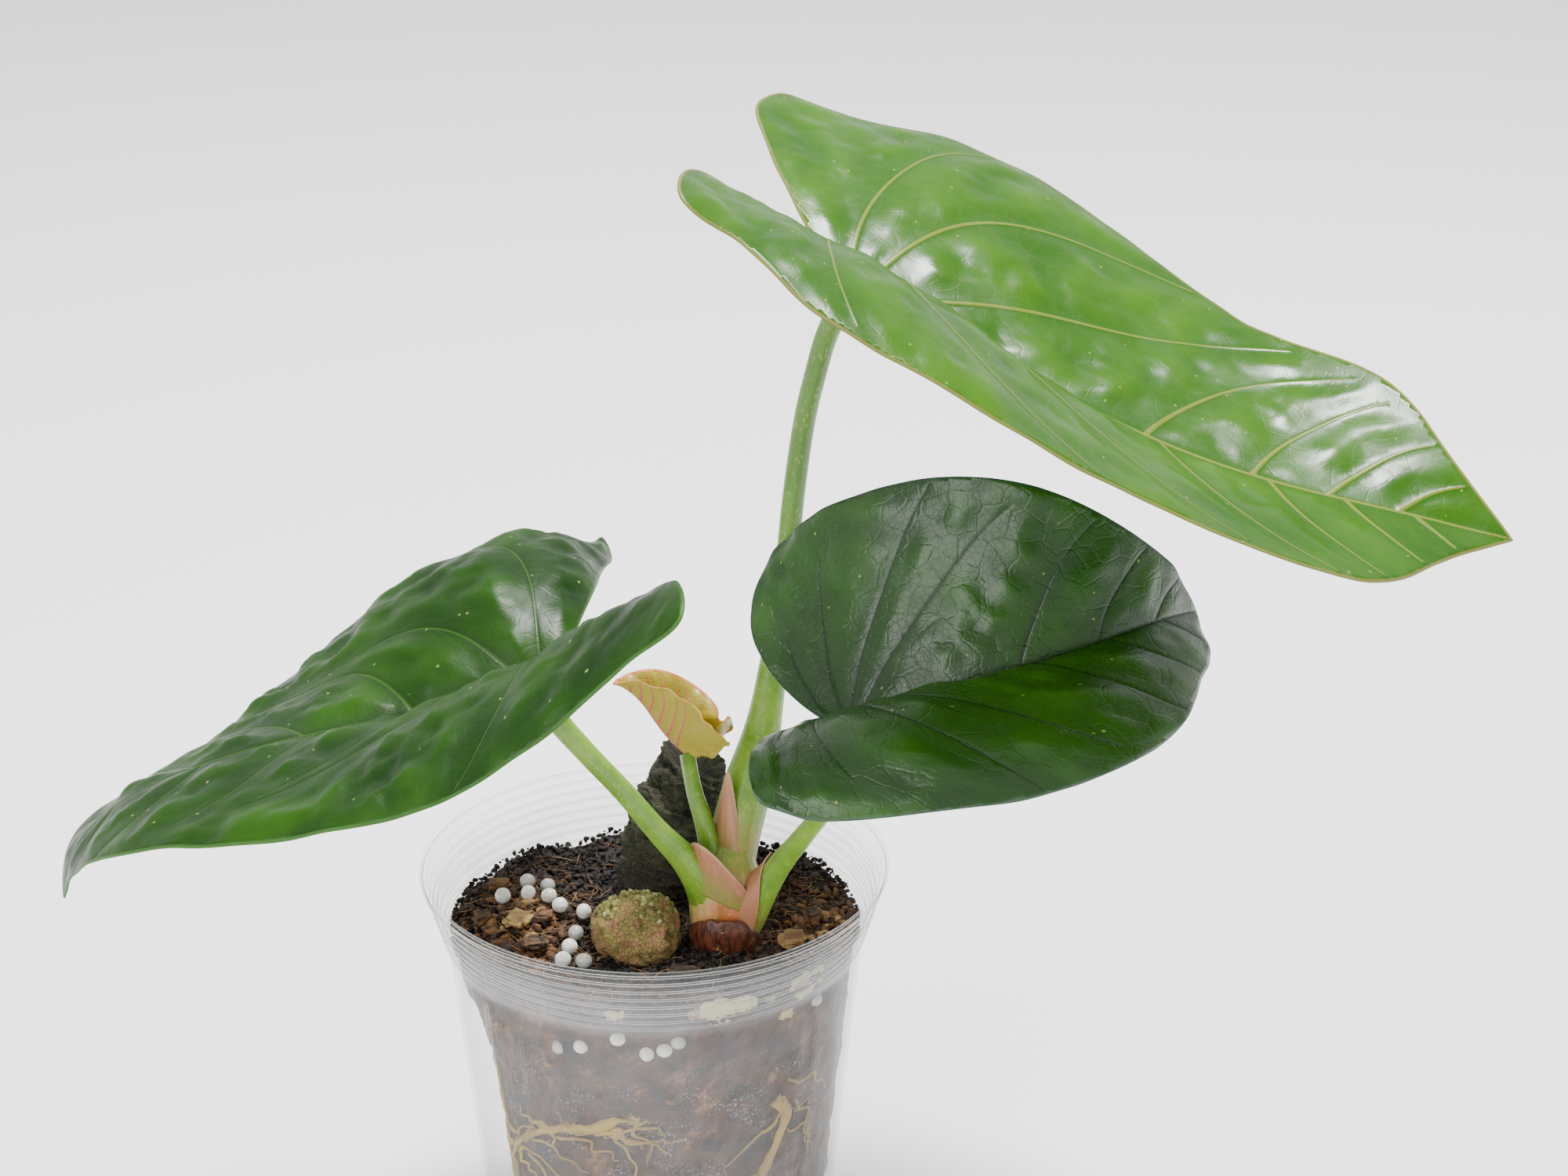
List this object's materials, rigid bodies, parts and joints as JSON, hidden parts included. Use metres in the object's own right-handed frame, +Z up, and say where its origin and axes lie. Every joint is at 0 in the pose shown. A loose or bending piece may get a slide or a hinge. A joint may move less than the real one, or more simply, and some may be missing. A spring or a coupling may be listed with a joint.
{
  "type": "potted anthurium",
  "caption": "Small foliage plant with glossy heart-shaped leaves on bowed stalks, growing beside its old woody stem in a clear ribbed nursery pot of bark mix.",
  "frame": {"origin": "centre of the pot's flat underside", "axes": "+Z up along the pot's axis; +X towards the large upper leaf's tip, the object's longest direction; +Y away from the side the plant shows best"},
  "size_m": [0.2931, 0.1523, 0.2556],
  "materials": {
    "clear_plastic": "thin clear plastic, smooth, lightly hazed, with moulded rings and seams",
    "potting_mix": "damp dark bark and coir mix, matt and crumbly",
    "bark": "broken bark and coir chips, matt, fibrous",
    "fertiliser_bead": "coated slow-release fertiliser bead, milky and semi-gloss",
    "root": "pale cream living root, soft satin",
    "old_rhizome": "dead woody stem, dark, ringed with leaf scars, matt",
    "mossy_corm": "rounded corm crusted with dry green-tan moss, matt",
    "crown": "fleshy orange-yellow shoot base with fine pale speckles, satin",
    "papery_scale": "dry papery brown scale, creased, half gloss",
    "sheath": "thin pinkish sheath edge with darker lengthwise veins, satin",
    "petiole": "smooth light green leaf stalk with fine pale speckles, satin",
    "blade_top": "bright mid-green glossy leaf, pale raised veins",
    "blade_left": "dark green quilted leaf, semi-gloss with silvery patches",
    "blade_right": "dark green glossy cupped leaf, sunken dark veins",
    "blade_young": "soft yellow-orange young leaf, pink veins and edge"
  },
  "bodies": {
    "root": {"bark_chip_1": "bark", "bark_chip_2": "bark", "bark_chip_3": "bark", "bark_chip_4": "bark", "bark_chip_5": "bark", "bark_chip_6": "bark", "bark_chip_7": "bark", "bark_chip_8": "bark", "bark_chip_9": "bark", "basal_scale": "papery_scale", "blade_left": "blade_left", "blade_right": "blade_right", "blade_top": "blade_top", "blade_young": "blade_young", "corm": "mossy_corm", "crown": "crown", "fertiliser_bead_1": "fertiliser_bead", "fertiliser_bead_10": "fertiliser_bead", "fertiliser_bead_11": "fertiliser_bead", "fertiliser_bead_12": "fertiliser_bead", "fertiliser_bead_2": "fertiliser_bead", "fertiliser_bead_3": "fertiliser_bead", "fertiliser_bead_4": "fertiliser_bead", "fertiliser_bead_5": "fertiliser_bead", "fertiliser_bead_6": "fertiliser_bead", "fertiliser_bead_7": "fertiliser_bead", "fertiliser_bead_8": "fertiliser_bead", "fertiliser_bead_9": "fertiliser_bead", "old_rhizome": "old_rhizome", "petiole_left": "petiole", "petiole_right": "petiole", "petiole_top": "petiole", "petiole_young": "petiole", "pot": "clear_plastic", "potting_mix": "potting_mix", "root_1": "root", "root_2": "root", "root_3": "root", "root_4": "root", "root_5": "root", "sheath_front": "sheath", "sheath_right": "sheath", "sheath_spear": "sheath"}
  },
  "joints": []
}
